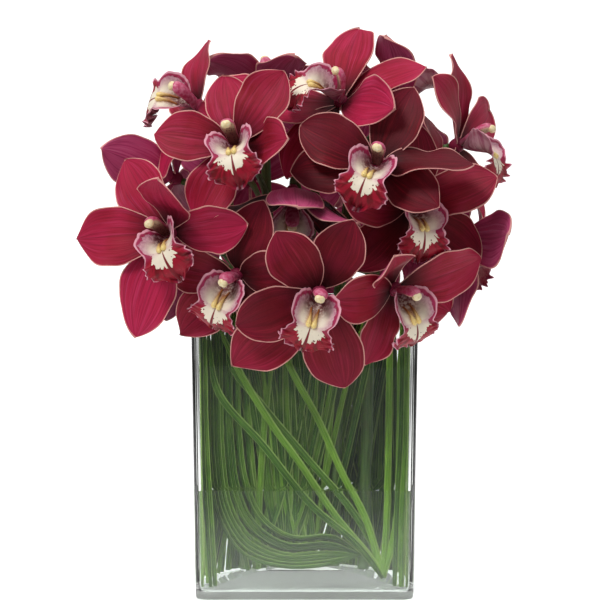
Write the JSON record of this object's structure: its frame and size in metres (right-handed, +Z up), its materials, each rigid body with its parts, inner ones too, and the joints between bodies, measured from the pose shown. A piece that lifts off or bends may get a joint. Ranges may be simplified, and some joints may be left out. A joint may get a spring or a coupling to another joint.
{
  "type": "orchid bouquet in vase",
  "caption": "Burgundy cymbidium orchid blooms on cut stems in a clear rectangular glass vase, with water and long grass blades bent round inside the glass.",
  "frame": {"origin": "centre of the vase's underside", "axes": "+Z up out of the vase, +X to the right of the front view along the vase's long side, -Y out of the front"},
  "size_m": [0.2834, 0.2135, 0.3834],
  "materials": {
    "glass": "polished",
    "water": "polished",
    "tepal": "satin",
    "lip": "satin",
    "stem": "satin",
    "grass": "satin"
  },
  "bodies": {
    "root": {"vase": "glass", "water": "water", "flower_stem_01": "stem", "flower_stem_02": "stem", "flower_stem_03": "stem", "flower_stem_04": "stem", "flower_stem_05": "stem", "grass_bent": "grass", "grass_slanted": "grass", "grass_upright": "grass", "grass_back_left": "grass", "grass_back_middle": "grass", "grass_back_right": "grass", "bloom_01": "tepal", "bloom_01_lip": "lip", "bloom_02": "tepal", "bloom_02_lip": "lip", "bloom_03": "tepal", "bloom_03_lip": "lip", "bloom_04": "tepal", "bloom_04_lip": "lip", "bloom_05": "tepal", "bloom_05_lip": "lip", "bloom_06": "tepal", "bloom_06_lip": "lip", "bloom_07": "tepal", "bloom_07_lip": "lip", "bloom_08": "tepal", "bloom_08_lip": "lip", "bloom_09": "tepal", "bloom_09_lip": "lip", "bloom_10": "tepal", "bloom_10_lip": "lip", "bloom_11": "tepal", "bloom_11_lip": "lip", "bloom_12": "tepal", "bloom_12_lip": "lip", "bloom_13": "tepal", "bloom_13_lip": "lip", "bloom_14": "tepal", "bloom_14_lip": "lip", "bloom_15": "tepal", "bloom_15_lip": "lip", "bloom_16": "tepal", "bloom_16_lip": "lip", "bloom_17": "tepal", "bloom_17_lip": "lip", "bloom_18": "tepal", "bloom_18_lip": "lip", "bloom_19": "tepal", "bloom_19_lip": "lip", "bloom_20": "tepal", "bloom_20_lip": "lip"}
  },
  "joints": []
}
